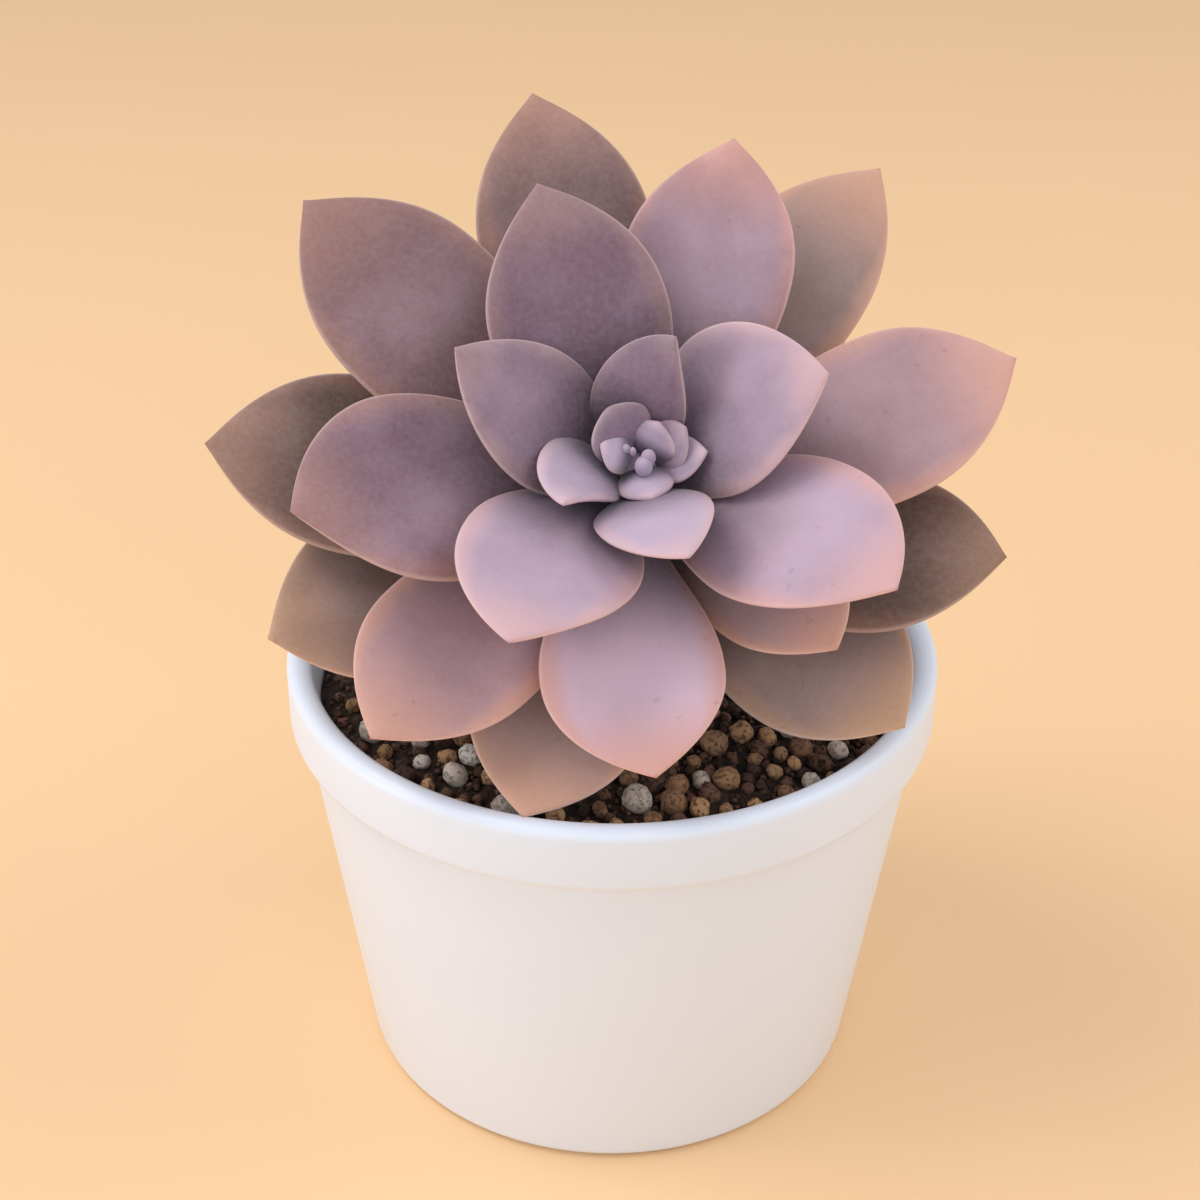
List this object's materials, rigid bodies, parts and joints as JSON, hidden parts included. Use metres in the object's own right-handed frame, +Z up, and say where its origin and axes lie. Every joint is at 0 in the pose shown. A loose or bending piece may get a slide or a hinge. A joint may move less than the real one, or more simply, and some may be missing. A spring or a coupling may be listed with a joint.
{
  "type": "potted graptopetalum superbum",
  "caption": "Rosette succulent with thick pointed mauve leaves in a spiral on a short leaning stem, in a tapered white pot filled with gritty soil.",
  "frame": {"origin": "centre of the pot's foot, on the surface it stands on", "axes": "+Z up along the pot's axis, -Y the way the rosette leans and faces, +X to the viewer's right"},
  "size_m": [0.1264, 0.1115, 0.1611],
  "materials": {
    "leaf": "matte",
    "crown": "matte",
    "stem": "matte",
    "soil": "matte",
    "pot": "satin"
  },
  "bodies": {
    "root": {"leaf_01": "leaf", "leaf_02": "leaf", "leaf_03": "leaf", "leaf_04": "leaf", "leaf_05": "leaf", "leaf_06": "leaf", "leaf_07": "leaf", "leaf_08": "leaf", "leaf_09": "leaf", "leaf_10": "leaf", "leaf_11": "leaf", "leaf_12": "leaf", "leaf_13": "leaf", "leaf_14": "leaf", "leaf_15": "leaf", "leaf_16": "leaf", "leaf_17": "leaf", "leaf_18": "leaf", "leaf_19": "leaf", "leaf_20": "leaf", "leaf_21": "leaf", "leaf_22": "leaf", "leaf_23": "leaf", "leaf_24": "leaf", "crown": "crown", "stem": "stem", "soil": "soil", "pot": "pot"}
  },
  "joints": []
}
